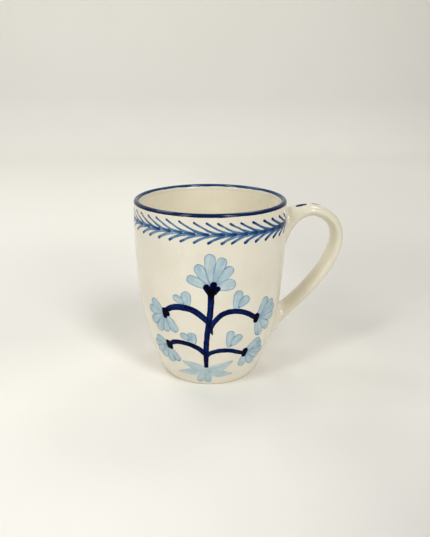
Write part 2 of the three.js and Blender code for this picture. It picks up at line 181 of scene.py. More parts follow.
def to_wall(points):
    """u, v and lift of points in space that are close to the wall."""
    x, y, z = points[..., 0] - CUP_X, points[..., 1], points[..., 2]
    azimuth = np.arctan2(y, x)
    height = z.copy()
    for _ in range(3):
        v = np.interp(height, WALL[:, 1], WALL_V)
        radius, _, across, down = wall_at(v)
        lift = (np.hypot(x, y) - radius - wobble(azimuth, v)) * across
        height = z - lift * down
    turn = (azimuth - MOTIF_AZIMUTH + math.pi) % (2 * math.pi) - math.pi
    return turn * radius, v, lift


# The two edges of the strap in its middle plane: distance from the cup's axis, and height.
OUTER_EDGE = [
    (41, 96.8), (47, 99.9), (50, 100.9), (54, 101.6), (58, 101.9), (62, 102),
    (67.8, 100.6), (73.3, 97.5), (77.8, 93.2), (80.6, 87.4), (81.5, 81.2), (80.6, 74.2),
    (77.2, 65.2), (71.4, 55.6), (63.2, 45.6), (56.2, 38.5), (48.5, 31), (43.6, 25.8),
    (36, 15),
]
INNER_EDGE = [
    (43.5, 73), (46.3, 80.4), (48.4, 85.4), (52, 90.8), (57, 94.3), (62, 95.1),
    (65.8, 94), (69.4, 91.8), (72.3, 88.9), (74, 85.4), (74.5, 81.2), (73.8, 75.8),
    (71, 68.4), (65.9, 60), (58.2, 50.5), (51.4, 43.6), (46, 39), (42.6, 37.4),
    (38, 38),
]
EDGE_T = np.linspace(0, 1, 1200)
OUTER = spline(OUTER_EDGE, EDGE_T)
INNER = spline(INNER_EDGE, EDGE_T)
OUTER_S = np.concatenate([[0], np.cumsum(np.hypot(*np.diff(OUTER, axis=0).T))])


def in_strap(t, across, side, lift=0.0):
    """A point of the strap: t along it, across its thickness and side over its width, -1 to 1."""
    outer = np.stack([np.interp(t, EDGE_T, OUTER[:, k]) for k in (0, 1)], axis=-1)
    inner = np.stack([np.interp(t, EDGE_T, INNER[:, k]) for k in (0, 1)], axis=-1)
    middle, half = (outer + inner) / 2, (outer - inner) / 2
    out = half / np.linalg.norm(half, axis=-1, keepdims=True)
    width = STRAP_WIDTH + (ROOT_WIDTH - STRAP_WIDTH) * np.abs(2 * t - 1) ** 8
    pulled = 0.12 * noise(9 * t + 3, 2.5 * side) * np.sin(math.pi * t)
    place = middle + half * np.asarray(across)[..., None] + out * (lift + pulled)[..., None]
    return np.stack([CUP_X + place[..., 0], width / 2 * side, place[..., 1]], axis=-1)


def on_strap(s, w, lift):
    """The strap's outer face as a sheet: s along it from the cup, w across it."""
    side = w / (STRAP_WIDTH / 2)
    across = (1 - np.abs(side) ** STRAP_ROUNDING) ** (1 / STRAP_ROUNDING)
    return in_strap(np.interp(s, OUTER_S, EDGE_T), across, side, lift)


# ---- meshes -------------------------------------------------------------------------


def make_piece(name, points, faces, materials, nodes, values=None, crease=40):
    """A mesh piece that rides on the mug and stands for CAD nodes. points are millimetres."""
    mesh = bpy.data.meshes.new(name)
    mesh.from_pydata((np.asarray(points) * MM).tolist(), [], [list(map(int, f)) for f in faces])
    for material in materials:
        mesh.materials.append(material)
    for label, numbers in (values or {}).items():
        layer = mesh.attributes.new(label, "FLOAT", "POINT")
        layer.data.foreach_set("value", np.asarray(numbers, np.float32))
    mesh.validate()
    mesh.shade_smooth()
    mesh.set_sharp_from_angle(angle=math.radians(crease))
    piece = bpy.data.objects.new(name, mesh)
    bpy.context.scene.collection.objects.link(piece)
    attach(piece, "root")
    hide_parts(*nodes)
    return piece


def grid_faces(rows, columns, closed_rows=False, closed_columns=True):
    """Quads over a grid of points stored row by row."""
    faces = []
    for i in range(rows if closed_rows else rows - 1):
        for j in range(columns if closed_columns else columns - 1):
            here, there = i * columns, (i + 1) % rows * columns
            after = (j + 1) % columns
            faces.append((here + j, here + after, there + after, there + j))
    return faces


def turn_profile(profile, azimuth, sway):
    """A profile of radius and height, turned round the cup's axis and swayed out from it."""
    radius, height = profile[:, :1] + sway, profile[:, 1:]
    x = CUP_X + radius * np.cos(azimuth)
    y = radius * np.sin(azimuth)
    z = np.broadcast_to(height, x.shape)
    return np.stack([x, y, z], axis=-1).reshape(-1, 3)


def lip_outline(angle, lift=0.0):
    """Radius and height on the lip at an angle: 0 is outside, a quarter turn is the crest."""
    fall = np.where(angle > math.pi / 2, LIP_INNER_FALL, LIP_ROUND)
    centre = LIP_CENTRE + LIP_ROUND - fall
    out, up = np.cos(angle) / LIP_ROUND, np.sin(angle) / fall
    size = np.hypot(out, up)
    radius = LIP_RADIUS + LIP_ROUND * np.cos(angle) + lift * out / size
    return radius, centre + fall * np.sin(angle) + lift * up / size


# ---- materials ----------------------------------------------------------------------


def linear(red, green, blue):
    """A colour as seen on a screen, 0 to 255, in the renderer's linear numbers."""

    def one(c):
        c = c / 255
        return c / 12.92 if c <= 0.04045 else ((c + 0.055) / 1.055) ** 2.4

    return one(red), one(green), one(blue)


class Nodes:
    """A material's node tree, with short ways to add to it."""

    def __init__(self, name):
        self.material = bpy.data.materials.new(name)
        self.material.use_nodes = True
        self.tree = self.material.node_tree
        self.shader = self.tree.nodes["Principled BSDF"]

    def add(self, kind, inputs=None, **settings):
        """A node, with each input either linked to a socket or set to a value."""
        node = self.tree.nodes.new(kind)
        for key, value in settings.items():
            setattr(node, key, value)
        for key, value in (inputs or {}).items():
            if isinstance(value, bpy.types.NodeSocket):
                self.tree.links.new(value, node.inputs[key])
            else:
                node.inputs[key].default_value = value
        return node

    def link(self, out, socket):
        """Feeds one of the shader's own sockets."""
        self.tree.links.new(out, self.shader.inputs[socket])

    def math(self, operation, a, b):
        return self.add("ShaderNodeMath", {0: a, 1: b}, operation=operation).outputs[0]

    def blend(self, first, first_part, second, second_part):
        """Two values added up in parts."""
        return self.math(
            "ADD",
            self.math("MULTIPLY", first, first_part),
            self.math("MULTIPLY", second, second_part),
        )

    def product(self, first, *others):
        for other in others:
            first = self.math("MULTIPLY", first, other)
        return first

    def place(self):
        """The piece's own coordinates, in metres."""
        return self.add("ShaderNodeTexCoord").outputs["Object"]

    def noise(self, scale, detail=3.0, rough=0.5):
        """Noise from 0 to 1, with about scale bumps to the metre."""
        inputs = {"Vector": self.place(), "Scale": scale, "Detail": detail, "Roughness": rough}
        return self.add("ShaderNodeTexNoise", inputs).outputs["Fac"]

    def ramp(self, value, stops):
        """Colours along a value, from stops: a place from 0 to 1, and the colour on a screen."""
        node = self.add("ShaderNodeValToRGB", {"Fac": value})
        bar = node.color_ramp.elements
        while len(bar) < len(stops):
            bar.new(0.5)
        for element, (at, colour) in zip(bar, stops):
            element.position = at
            element.color = (*linear(*colour), 1)
        return node.outputs["Color"]

    def remap(self, value, low, high, to_low, to_high):
        """A value between low and high, carried over to between to_low and to_high."""
        inputs = {0: value, 1: low, 2: high, 3: to_low, 4: to_high}
        return self.add("ShaderNodeMapRange", inputs).outputs[0]

    def bump(self, height, distance, strength):
        """A surface that rises and falls with height, over a distance in metres."""
        inputs = {"Height": height, "Distance": distance, "Strength": strength}
        return self.add("ShaderNodeBump", inputs).outputs["Normal"]


# A fired glaze's roughness, at its smoothest and at its dullest.
GLAZE_ROUGHNESS = (0.10, 0.17)


def glossy(nodes, roughness, gloss):
    """The clear fired glaze over everything: glossy, faintly uneven in sheen and surface."""
    sheen = nodes.noise(260.0, detail=2.0)
    nodes.link(nodes.remap(sheen, 0.3, 0.7, *roughness), "Roughness")
    swell = nodes.noise(95.0, detail=2.0)
    peel = nodes.noise(900.0, detail=2.0)
    height = nodes.math("ADD", swell, nodes.math("MULTIPLY", peel, 0.06))
    nodes.link(nodes.bump(height, distance=0.00022, strength=0.5), "Normal")
    nodes.shader.inputs["IOR"].default_value = 1.5
    nodes.shader.inputs["Specular IOR Level"].default_value = gloss


def glaze_material(name, light, deep):
    """Cream stoneware under clear glaze, with soft clouds and a few iron specks."""
    nodes = Nodes(name)
    clouds = nodes.noise(38.0, detail=4.0, rough=0.55)
    fine = nodes.noise(700.0, detail=3.0, rough=0.6)
    tone = nodes.blend(clouds, 0.75, fine, 0.25)
    body = nodes.ramp(tone, [(0.36, deep), (0.62, light)])
    cells = nodes.add(
        "ShaderNodeTexVoronoi", {"Vector": nodes.place(), "Scale": 240.0, "Randomness": 1.0}
    )
    # A speck lies in the middle of one cell in about twenty, picked by the cell's own value.
    near = nodes.remap(cells.outputs["Distance"], 0.04, 0.10, 1.0, 0.0)
    own_value = nodes.add("ShaderNodeSeparateColor", {0: cells.outputs["Color"]}).outputs[0]
    picked = nodes.remap(own_value, 0.93, 0.97, 0.0, 0.45)
    iron = (*linear(150, 122, 88), 1)
    specked = nodes.add(
        "ShaderNodeMix",
        {0: nodes.math("MULTIPLY", near, picked), 6: body, 7: iron},
        data_type="RGBA",
    )
    nodes.link(specked.outputs[2], "Base Color")
    glossy(nodes, GLAZE_ROUGHNESS, gloss=0.5)
    return nodes.material


def bare_clay_material(name):
    """Unglazed fired stoneware, as on the wiped foot ring."""
    nodes = Nodes(name)
    grit = nodes.noise(1800.0, detail=4.0, rough=0.65)
    clouds = nodes.noise(120.0)
    tone = nodes.blend(grit, 0.6, clouds, 0.4)
    colour = nodes.ramp(tone, [(0.35, (176, 160, 130)), (0.65, (208, 194, 164))])
    nodes.link(colour, "Base Color")
    nodes.shader.inputs["Roughness"].default_value = 0.85
    nodes.link(nodes.bump(grit, distance=0.0002, strength=0.6), "Normal")
    return nodes.material


def paint_material(name, stops, grain=0.14, roughness=GLAZE_ROUGHNESS, gloss=0.12):
    """Brushed colour under the glaze, through stops from no pigment to twice a full wash.

    The mesh's pigment value says how much lies at a point.
    """
    nodes = Nodes(name)
    pigment = nodes.add("ShaderNodeAttribute", attribute_name="pigment").outputs["Fac"]
    speck = nodes.noise(1500.0, detail=4.0, rough=0.65)
    cloud = nodes.noise(330.0, detail=3.0, rough=0.6)
    mottle = nodes.blend(speck, 0.55, cloud, 0.45)
    spread = nodes.remap(mottle, 0.3, 0.7, 1 - grain, 1 + grain)
    density = nodes.math("MULTIPLY", pigment, spread)
    colour = nodes.ramp(nodes.math("MULTIPLY", density, 0.5), stops)
    nodes.link(colour, "Base Color")
    glossy(nodes, roughness, gloss)
    return nodes.material


GLAZE = glaze_material("cream_glaze", (233, 228, 212), (226, 219, 200))
# A darker copy of the cream glaze: painted shade on the handle.
SHADED_HANDLE_GLAZE = glaze_material("handle_glaze_painted_shade", (227, 221, 201), (219, 212, 188))
INSIDE_GLAZE = glaze_material("inside_glaze", (243, 237, 217), (237, 229, 207))
# A darker copy of the cream glaze, between it and the handle's: painted shade where the slip meets
# the handle.
SHADED_SLIP_GLAZE = glaze_material("slip_glaze_painted_shade", (228, 221, 202), (220, 212, 190))
BARE_CLAY = bare_clay_material("bare_stoneware")

# What shows where a wash runs out to nothing.
CREAM = (228, 221, 201)

PETAL = paint_material(
    "petal_wash",
    [
        (0.0, CREAM),
        (0.16, (196, 210, 208)),
        (0.34, (168, 191, 200)),
        (0.55, (128, 159, 181)),
        (0.8, (86, 122, 156)),
        (1.0, (60, 92, 130)),
    ],
)
PALE_LEAF = paint_material(
    "leaf_wash",
    [
        (0.0, CREAM),
        (0.16, (202, 213, 210)),
        (0.34, (180, 198, 203)),
        (0.6, (148, 174, 188)),
        (1.0, (96, 128, 156)),
    ],
)
LAUREL = paint_material(
    "laurel_wash",
    [
        (0.0, CREAM),
        (0.14, (142, 165, 184)),
        (0.32, (70, 106, 144)),
        (0.52, (36, 76, 124)),
        (0.75, (12, 48, 104)),
        (1.0, (2, 20, 66)),
    ],
)
NAVY = paint_material(
    "navy_brushwork",
    [
        (0.0, (140, 155, 185)),
        (0.15, (30, 58, 114)),
        (0.42, (2, 24, 80)),
        (0.62, (0, 12, 58)),
        (0.85, (0, 4, 34)),
        (1.0, (0, 1, 18)),
    ],
    grain=0.18,
    gloss=0.05,
)
INK = paint_material(
    "ink_brushwork",
    [
        (0.0, (70, 80, 125)),
        (0.2, (6, 12, 68)),
        (0.5, (1, 3, 40)),
        (0.75, (0, 0, 12)),
        (1.0, (0, 0, 5)),
    ],
    grain=0.2,
    gloss=0.03,
)
BAND = paint_material(
    "cobalt_band",
    [
        (0.0, (108, 140, 162)),
        (0.2, (40, 86, 124)),
        (0.45, (2, 46, 90)),
        (0.7, (0, 24, 70)),
        (1.0, (0, 6, 40)),
    ],
    grain=0.12,
    roughness=(0.08, 0.14),
    gloss=0.3,
)


# ---- clay ---------------------------------------------------------------------------


CUP_SEGMENTS = 256
# The cup's materials, in the order in which its mesh holds them.
GLAZED, GLAZED_INSIDE, BARE = 0, 1, 2
# How many steps of the section under the foot, from the middle out, are glazed.
GLAZED_RECESS_STEPS = 4


def cup_section():
    """Radius and height round half of the cup's section, in four runs."""
    under = [
        (0.4, FOOT_RECESS),
        (12, FOOT_RECESS),
        (FOOT_INNER - 3, FOOT_RECESS),
        (FOOT_INNER - 1.4, FOOT_RECESS - 0.1),
        (FOOT_INNER - 0.8, FOOT_RECESS * 0.6),
        (FOOT_INNER - 0.2, 0.2),
        (FOOT_INNER + 0.5, 0),
        ((FOOT_EDGE + FOOT_INNER) / 2, 0),
        (FOOT_EDGE - 0.8, 0),
    ]
    outside = WALL[OUTSIDE]
    lip = np.stack(lip_outline(np.linspace(0, math.pi, 31)), axis=1)
    lip_end = (LIP_RADIUS - LIP_ROUND, LIP_CENTRE + LIP_ROUND - LIP_INNER_FALL)
    inside = spline(
        [
            lip_end, (41.1, 85), (40.2, 64), (38.2, 45), (34, 27), (26, 13), (14, 8.2),
            (0.4, FLOOR),
        ],
        np.linspace(0, 1, 70),
    )[1:]
    return np.array(under), outside, lip, inside


def build_cup():
    """The thrown cup: foot ring, wall, rounded lip and the inside, as one closed shell."""
    under, outside, lip, inside = cup_section()
    profile = np.vstack([under, outside, lip, inside])
    azimuth = np.linspace(0, 2 * math.pi, CUP_SEGMENTS, endpoint=False)
    inner_radius, inner_height = inside[:, :1], inside[:, 1:]
    rings = 0.05 * np.sin(inner_height / 1.9 + azimuth) * smoothstep(102, 90, inner_height)
    sway = np.vstack(
        [
            np.zeros((len(under), CUP_SEGMENTS)),
            wobble(azimuth, WALL_V[OUTSIDE][:, None]),
            np.zeros((len(lip), CUP_SEGMENTS)),
            rings * smoothstep(2, 12, inner_radius),
        ]
    )
    points = turn_profile(profile, azimuth, sway)
    faces = grid_faces(len(profile), CUP_SEGMENTS)
    # Two round faces close the shell: the middle of the recess, and the middle of the floor.
    last = (len(profile) - 1) * CUP_SEGMENTS
    faces.append(list(range(CUP_SEGMENTS))[::-1])
    faces.append([last + k for k in range(CUP_SEGMENTS)])
    piece = make_piece(
        "cup", points, faces, [GLAZE, INSIDE_GLAZE, BARE_CLAY], ["cup_body"]
    )
    # The glaze stops at the recess's edge, and starts again just above the foot ring.
    rows = np.full(len(profile) - 1, GLAZED)
    rows[GLAZED_RECESS_STEPS : len(under) + 1] = BARE
    rows[-len(inside) :] = GLAZED_INSIDE
    materials = np.append(np.repeat(rows, CUP_SEGMENTS), [GLAZED, GLAZED_INSIDE])
    piece.data.polygons.foreach_set("material_index", materials.astype(np.int32))


def strap_line(angle):
    """across and side of the strap's superellipse section at an angle."""
    power = 2 / STRAP_ROUNDING
    cosine, sine = np.cos(angle), np.sin(angle)
    return np.sign(cosine) * np.abs(cosine) ** power, np.sign(sine) * np.abs(sine) ** power


STRAP_SIDES = 96
STRAP_ROWS = 220
STRAP_ANGLES = np.linspace(0, 2 * math.pi, STRAP_SIDES, endpoint=False)
STRAP_ACROSS, STRAP_SIDE = strap_line(STRAP_ANGLES)
# How deep the roots of the strap are sunk into the wall, and its slip at the hem and behind it.
ROOT_DEPTH = 0.8
SLIP_HEM_DEPTH = 0.3
SLIP_BACK_DEPTH = 0.5
# How far the slip's face stands out from the strap and the wall that it runs into.
SLIP_LIFT = 0.012


def whole_strap(t):
    """Points all round the strap, a row of them for each row of t."""
    across = np.broadcast_to(STRAP_ACROSS, t.shape)
    return in_strap(t, across, np.broadcast_to(STRAP_SIDE, t.shape))


def meets_wall(lift, end):
    """t along the strap at which each line of it comes within a lift of the wall."""
    t = np.linspace(0 if end == "upper" else 1, 0.5, 500)
    _, _, lifts = to_wall(whole_strap(np.broadcast_to(t[:, None], (len(t), STRAP_SIDES))))
    meeting = []
    for k in range(STRAP_SIDES):
        outside = np.nonzero(lifts[:, k] > lift)[0][0]
        low, high = lifts[outside - 1, k], lifts[outside, k]
        part = (lift - low) / (high - low)
        meeting.append(t[outside - 1] + part * (t[outside] - t[outside - 1]))
    return np.array(meeting)


def build_handle():
    """The pulled strap, sunk a little into the wall at both roots."""
    start, stop = meets_wall(-ROOT_DEPTH, "upper"), meets_wall(-ROOT_DEPTH, "lower")
    part = np.linspace(0, 1, STRAP_ROWS)[:, None]
    points = whole_strap(start * (1 - part) + stop * part)
    faces = [face[::-1] for face in grid_faces(STRAP_ROWS, STRAP_SIDES)]
    last = (STRAP_ROWS - 1) * STRAP_SIDES
    faces.append(list(range(STRAP_SIDES)))
    faces.append([last + k for k in range(STRAP_SIDES)][::-1])
    make_piece(
        "handle_strap", points.reshape(-1, 3), faces, [SHADED_HANDLE_GLAZE], ["handle"]
    )


def build_slip(end, reach):
    """The smoothed slip in the corner between a root of the strap and the wall."""

    def round_strap(lift):
        return to_wall(in_strap(meets_wall(lift, end), STRAP_ACROSS, STRAP_SIDE))

    around_x, around_y = 1.5 * np.cos(STRAP_ANGLES), 1.5 * np.sin(STRAP_ANGLES)
    uneven = reach * (1 + 0.12 * noise(3 + around_x, around_y))
    u_corner, v_corner, _ = round_strap(0.0)
    away_u, away_v = u_corner - u_corner.mean(), v_corner - v_corner.mean()
    length = np.hypot(away_u, away_v)
    away_u, away_v = away_u / length, away_v / length
    u_wall, v_wall = u_corner + away_u * uneven, v_corner + away_v * uneven
    flat = np.zeros(STRAP_SIDES)
    on_root = np.stack(round_strap(reach), axis=-1)
    in_corner = np.stack([u_corner, v_corner, flat], axis=-1)
    at_hem = np.stack([u_wall, v_wall, flat], axis=-1)
    # The slip's face bends from the strap to the wall, and its back runs under the wall's face.
    rows = []
    for tau in (1 - np.cos(np.linspace(0, math.pi, 19))) / 2:
        bend = (1 - tau) ** 2 * on_root + 2 * tau * (1 - tau) * in_corner + tau**2 * at_hem
        rows.append(on_wall(bend[:, 0], bend[:, 1], bend[:, 2] + SLIP_LIFT))
    rows.append(on_wall(u_wall, v_wall, -SLIP_HEM_DEPTH))
    rows.append(on_wall(u_corner - away_u * 0.5, v_corner - away_v * 0.5, -SLIP_BACK_DEPTH))
    faces = grid_faces(len(rows), STRAP_SIDES, closed_rows=True)
    # The two roots face opposite ways along the strap, so the faces of one are turned over.
    if end == "lower":
        faces = [face[::-1] for face in faces]
    points = np.stack(rows).reshape(-1, 3)
    make_piece(
        f"{end}_slip", points, faces, [SHADED_SLIP_GLAZE], [f"{end}_slip_joint"]
    )


# ---- brushwork ----------------------------------------------------------------------


def stroke(spine, widths, load=1.0):
    """One brush stroke: its spine on the sheet, its width at each point, and how wet it is."""
    return {"spine": spine, "widths": widths, "load": load}


def petal(base, tip, width):
    """A straight stroke that starts narrow and ends full and round."""
    middle = [(base[0] + tip[0]) / 2, (base[1] + tip[1]) / 2]
    return stroke([base, middle, tip], [0.6 * width, 0.98 * width, width])


def dab(start, stop, width):
    """A short press of the brush."""
    return stroke([start, stop], [width, 0.9 * width])


def measure(mark, u, v):
    """Depth inside a stroke, place along it from 0 to 1 and across it from -1 to 1, its length."""
    t = np.linspace(0, 1, 60)
    line = spline(mark["spine"], t)
    radius = spline(np.array(mark["widths"], float)[:, None], t)[:, 0] / 2
    du = u[..., None] - line[:, 0]
    dv = v[..., None] - line[:, 1]
    depth = radius - np.hypot(du, dv)
    best = np.argmax(depth, axis=-1)

    def at_best(values):
        return np.take_along_axis(values, best[..., None], -1)[..., 0]

    run = np.gradient(line, axis=0)
    run = run / np.linalg.norm(run, axis=1, keepdims=True)
    ahead = at_best(du) * run[best, 0] + at_best(dv) * run[best, 1]
    across = (run[best, 0] * at_best(dv) - run[best, 1] * at_best(du)) / radius[best]
    length = np.hypot(*np.diff(line, axis=0).T).sum()
    along = t[best] + ahead / length
    return at_best(depth), along, across, length


# The depth given to a place that no stroke comes near.
FAR_OUTSIDE = -9.0


def close_to(mark, u, v):
    """Which places are in the box round a stroke, with room for its ragged edge."""
    spine = np.array(mark["spine"], float)
    reach = max(mark["widths"]) / 2 + 1.5
    low, high = spine.min(0) - reach, spine.max(0) + reach
    return (u > low[0]) & (u < high[0]) & (v > low[1]) & (v < high[1])


def lay_paint(marks, u, v, brush, number):
    """Depth inside the union of strokes, and the pigment that they leave."""
    # The edge wanders in slow waves, with quicker ones half as strong on top.
    ragged = brush["ragged"]
    warp_u = u + ragged * (noise(u / 1.7 + 9, v / 1.7) + 0.5 * noise(u / 0.6, v / 0.6 + 5))
    warp_v = v + ragged * (noise(u / 1.7, v / 1.7 + 31) + 0.5 * noise(u / 0.6 + 17, v / 0.6))
    deepest, second = np.full(u.shape, FAR_OUTSIDE), np.full(u.shape, FAR_OUTSIDE)
    total, main = np.zeros(u.shape), np.zeros(u.shape)
    for k, mark in enumerate(marks):
        near = close_to(mark, u, v)
        if not near.any():
            continue
        depth, along, across, length = measure(mark, warp_u[near], warp_v[near])
        # Every stroke of every piece reads its own part of the noise.
        seed = 7.3 * k + 3.1 * number
        hairs = noise(along * length / 7 + seed, across * brush["hairs"] + seed)
        hairs = hairs + 0.6 * noise(along * length / 3 + seed, across * 2.3 * brush["hairs"])
        cloud = noise(u[near] / 2.2 + seed, v[near] / 2.2)
        laid = brush["body"] * (1 + brush["streak"] * hairs + 0.22 * cloud)
        laid = laid + brush["pool"] * np.exp(-(((depth - 0.25) / brush["line"]) ** 2))
        laid = laid + brush["tip"] * smoothstep(0.72, 1.02, along)
        laid = laid + brush["start"] * smoothstep(0.22, -0.08, along)
        laid = mark["load"] * np.maximum(laid, 0.02) * smoothstep(-0.05, brush["fade"], depth)
        total[near] += laid
        # A place takes its colour from the stroke that it is deepest in.
        wins = depth > deepest[near]
        second[near] = np.where(wins, deepest[near], np.maximum(second[near], depth))
        deepest[near] = np.where(wins, depth, deepest[near])
        main[near] = np.where(wins, laid, main[near])
    meeting = np.exp(-(((deepest - second) / 0.4) ** 2)) * smoothstep(-0.1, 0.3, second)
    return deepest, main + brush["overlap"] * (total - main) + brush["seam"] * meeting


def trace(depth, u_line, v_line):
    """Polygons covering where depth is above 0 on a grid: their corners and the corner lists."""
    rows, columns = depth.shape
    inside = depth > 0
    numbers = -np.ones(depth.shape, int)
    numbers[inside] = np.arange(inside.sum())
    corner_v, corner_u = np.nonzero(inside)
    places = np.stack([u_line[corner_u], v_line[corner_v]], 1).tolist()
    crossings = {}

    def crossing(a, b):
        key = (min(a, b), max(a, b))
        if key not in crossings:
            # Kept clear of both corners, so that no edge is left with no length.
            part = min(max(depth[a] / (depth[a] - depth[b]), 0.04), 0.96)
            u_here, u_there = u_line[a[1]], u_line[b[1]]
            v_here, v_there = v_line[a[0]], v_line[b[0]]
            crossings[key] = len(places)
            places.append([u_here + part * (u_there - u_here), v_here + part * (v_there - v_here)])
        return crossings[key]

    wet_grid = inside.astype(int)
    count = wet_grid[:-1, :-1] + wet_grid[:-1, 1:] + wet_grid[1:, 1:] + wet_grid[1:, :-1]
    polygons = []
    for i, j in zip(*np.nonzero(count == 4)):
        polygons.append([numbers[i, j], numbers[i, j + 1], numbers[i + 1, j + 1], numbers[i + 1, j]])
    for i, j in zip(*np.nonzero((count > 0) & (count < 4))):
        ring = [(i, j), (i, j + 1), (i + 1, j + 1), (i + 1, j)]
        wet = [inside[c] for c in ring]
        # Where only two opposite corners are wet, each is cut off on its own.
        if count[i, j] == 2 and wet[0] == wet[2]:
            for k in np.nonzero(wet)[0]:
                start = crossing(ring[k], ring[k - 1])
                stop = crossing(ring[k], ring[(k + 1) % 4])
                polygons.append([start, numbers[ring[k]], stop])
            continue
        polygon = []
        for k in range(4):
            if wet[k]:
                polygon.append(numbers[ring[k]])
            after = (k + 1) % 4
            if wet[k] != wet[after]:
                wet_end, dry_end = (ring[k], ring[after]) if wet[k] else (ring[after], ring[k])
                polygon.append(crossing(wet_end, dry_end))
        polygons.append(polygon)
    return np.array(places), polygons


# How far a film's back lies under the glaze's face.
FILM_DEPTH = 0.06


def make_film(name, node, marks, paint, sheet=on_wall, step=0.25):
    """A thin closed film of paint over strokes on a sheet, traced on a grid of that step."""
    material, slot, brush, lift = paint
    spines = np.vstack([np.array(mark["spine"], float) for mark in marks])
    widest = max(max(mark["widths"]) for mark in marks)
    low, high = spines.min(0) - widest, spines.max(0) + widest
    u_line = np.arange(low[0], high[0] + step, step)
    v_line = np.arange(low[1], high[1] + step, step)
    grid_u, grid_v = np.meshgrid(u_line, v_line)
    # The piece's own number, from its name, picks its part of the noise.
    number = sum(map(ord, name))
    depth, _ = lay_paint(marks, grid_u, grid_v, brush, number)
    places, polygons = trace(depth, u_line, v_line)
    _, pigment = lay_paint(marks, places[:, 0], places[:, 1], brush, number)
    top = sheet(places[:, 0], places[:, 1], lift)
    bottom = sheet(places[:, 0], places[:, 1], -FILM_DEPTH)
    # A side face stands on every edge that has a polygon on one side only.
    edges = {}
    for polygon in polygons:
        edges.update(dict.fromkeys(zip(polygon, polygon[1:] + polygon[:1])))
    count = len(places)
    faces = list(polygons)
    faces += [[count + k for k in polygon[::-1]] for polygon in polygons]
    faces += [[b, a, count + a, count + b] for a, b in edges if (b, a) not in edges]
    make_piece(
        name, np.vstack([top, bottom]), faces, [material], [node],
        {"pigment": np.tile(pigment, 2)}, crease=60,
    )


# How each brush lays its colour. ragged: how far its edge wanders. hairs: how many streaks it
# leaves, and streak: how strong. body: the wash itself. pool: what gathers along the edge, in a
# line that wide. fade: how soft the edge is. tip and start: what gathers at the end and at the
# start of a stroke. overlap: how much strokes add up, and seam: what gathers where two meet.
FULL_BRUSH = {
    "ragged": 0.10, "hairs": 2.2, "streak": 0.30, "body": 1.0, "pool": 0.25, "line": 0.2,
    "fade": 0.08, "tip": 0.30, "start": 0.15, "overlap": 0.8, "seam": 0.0,
}
INK_BRUSH = {
    "ragged": 0.14, "hairs": 1.6, "streak": 0.2, "body": 1.25, "pool": -0.6, "line": 0.35,
    "fade": 0.08, "tip": 0.0, "start": 0.0, "overlap": 0.5, "seam": 0.0,
}
PETAL_BRUSH = {
    "ragged": 0.12, "hairs": 3.2, "streak": 0.28, "body": 0.56, "pool": 0.55, "line": 0.32,
    "fade": 0.15, "tip": 0.08, "start": 0.10, "overlap": 0.10, "seam": 0.6,
}
LEAF_BRUSH = {
    "ragged": 0.14, "hairs": 2.6, "streak": 0.30, "body": 0.62, "pool": 0.14, "line": 0.2,
    "fade": 0.2, "tip": 0.20, "start": 0.0, "overlap": 0.06, "seam": 0.06,
}
LAUREL_BRUSH = {
    "ragged": 0.13, "hairs": 1.2, "streak": 0.25, "body": 0.62, "pool": 0.14, "line": 0.2,
    "fade": 0.15, "tip": 0.15, "start": 0.85, "overlap": 0.7, "seam": 0.0,
}

MAIN_STEM = [
    stroke(
        [[0.5, 66], [0.4, 60], [-0.2, 52], [-1.3, 43], [-2, 35], [-2.2, 26], [-2.1, 17.5]],
        [3.8, 3.6, 3.4, 3.3, 3.2, 3.1, 2.6],
    ),
    stroke([[-1.7, 50.2], [0.2, 47]], [2.6, 2.4], 0.5),
    stroke([[-2.8, 27.2], [-1.7, 25.6]], [2.2, 2.2], 0.5),
]
BRANCHES = {
    "upper_left": [
        stroke(
            [[-0.5, 48.6], [-4, 52.2], [-9.5, 56.1], [-16.5, 57.2], [-22, 56.1], [-25.8, 53.6]],
            [3.2, 3.6, 3.8, 3.9, 3.6, 3.2],
        ),
        stroke([[-10.5, 56.9], [-13.5, 57.6]], [1.8, 2], 0.7),
    ],
    "upper_right": [
        stroke(
            [
                [0.5, 45.5], [2.6, 49.6], [7, 53.9], [12.5, 55.2], [18.5, 54], [23.5, 51.3],
                [26.8, 48.6],
            ],
            [2.6, 3.1, 3.3, 3.3, 3.2, 3.2, 3],
        ),
        stroke([[1.3, 41], [0.8, 43.2], [0.5, 45.6]], [0.7, 1.7, 2.6]),
    ],
    "lower_left": [
        stroke(
            [[-2.4, 26.6], [-6, 30.5], [-11, 33], [-16.5, 33.9], [-21, 33.2], [-24.3, 31]],
            [3, 3.3, 3.2, 3.2, 3.3, 3.1],
        ),
        stroke([[-8.6, 32], [-11, 33]], [2, 2], 0.7),
    ],
    "lower_right": [
        stroke(
            [[-2, 25.4], [0.5, 28], [5.5, 29.4], [11, 28.9], [15.5, 27.2], [19.5, 25.2]],
            [2.8, 3, 3.1, 3.1, 3, 2.8],
        )
    ],
}
CALYXES = {
    "top": [
        dab([-2, 70.2], [-0.2, 66.8], 3.7),
        dab([1.9, 71.5], [0.9, 66.8], 3.8),
        dab([4.3, 69.4], [1.5, 66.2], 2.9),
        dab([0.6, 67.2], [0.4, 64.2], 3.8),
    ],
    "upper_left": [dab([-27.4, 53.2], [-26.9, 49.5], 3.4), dab([-26.1, 53], [-25.2, 51.2], 3.6)],
    "upper_right": [dab([28.4, 49.2], [27.7, 46.4], 3.9), dab([27.4, 49.2], [27.5, 47], 3.2)],
    "lower_left": [dab([-26.1, 31.6], [-25.3, 28.2], 3.1), dab([-24.6, 30], [-24, 28.3], 3.6)],
    "lower_right": [dab([21.5, 26.6], [20.7, 23.7], 4)],
}
